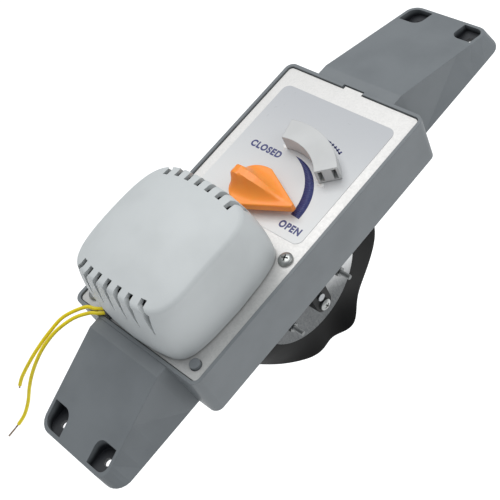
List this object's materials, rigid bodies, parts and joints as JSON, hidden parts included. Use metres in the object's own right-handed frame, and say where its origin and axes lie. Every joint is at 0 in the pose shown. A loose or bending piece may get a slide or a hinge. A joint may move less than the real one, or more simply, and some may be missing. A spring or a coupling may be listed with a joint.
{
  "type": "round duct zone damper",
  "caption": "Motor-driven round-duct zone damper with a screw-down housing, dial and pointer knob, vented motor cover, sealed disc blade and two leads.",
  "frame": {"origin": "where the shaft axis meets the duct face under the housing", "axes": "+Z out of the dial along the shaft, +Y along the duct away from the motor, +X to the pointer's open mark"},
  "size_m": [0.1105, 0.3513, 0.2025],
  "materials": {
    "housing_plastic": "fine moulded texture",
    "cover_plastic": "fine moulded texture",
    "orange_plastic": "satin",
    "pale_plastic": "satin",
    "black_plastic": "satin",
    "dark_plastic": "satin",
    "acetal": "satin",
    "label_film": "printed film",
    "galvanised_steel": "fine spangle",
    "plain_steel": "satin",
    "screw_steel": "zinc plated",
    "sintered_brass": "satin",
    "black_rubber": "satin",
    "lead_yellow": "extruded insulation",
    "bare_copper": "tinned strands"
  },
  "bodies": {
    "frame": {"housing": "housing_plastic", "cover_plate": "galvanised_steel", "dial_label": "label_film", "motor_cover": "cover_plastic", "gear_case": "plain_steel", "motor_can": "plain_steel", "can_screw_1": "screw_steel", "can_screw_2": "screw_steel", "return_spring": "plain_steel", "lower_bush": "acetal", "upper_bush": "acetal", "plate_screw_1": "screw_steel", "plate_screw_2": "screw_steel", "lead_grommet": "dark_plastic", "lead_1": "lead_yellow", "lead_2": "lead_yellow", "lead_tip_1": "bare_copper", "lead_tip_2": "bare_copper"},
    "blade": {"damper_shaft": "plain_steel", "knob": "orange_plastic", "sector_gear": "acetal", "retaining_ring": "plain_steel", "blade_bar": "black_plastic", "front_disc": "galvanised_steel", "rear_disc": "galvanised_steel", "rubber_seal": "black_rubber", "stud_1": "screw_steel", "stud_2": "screw_steel", "stud_3": "screw_steel", "stud_4": "screw_steel", "bar_screw": "screw_steel", "bar_rivet": "plain_steel"},
    "pinion": {"output_pinion": "sintered_brass"},
    "stop": {"stop_clip": "pale_plastic", "stop_keeper": "plain_steel"}
  },
  "joints": [
    {"name": "blade_turn", "type": "hinge", "parent": "frame", "child": "blade", "pos_m": [0, 0, 0], "axis": [0, 0, 1], "range_deg": [0, 90], "stiffness_Nm_per_rad": 0.02, "springref_deg": -17.19},
    {"name": "pinion_spin", "type": "hinge", "parent": "frame", "child": "pinion", "pos_m": [0, -0.038, 0], "axis": [0, 0, 1], "range_deg": [-340, 2]},
    {"name": "stop_slide", "type": "hinge", "parent": "frame", "child": "stop", "pos_m": [0, 0, 0], "axis": [0, 0, 1], "range_deg": [-20, 20]}
  ],
  "couplings": [
    {"joint": "pinion_spin", "follows": "blade_turn", "ratio": -3.75}
  ]
}
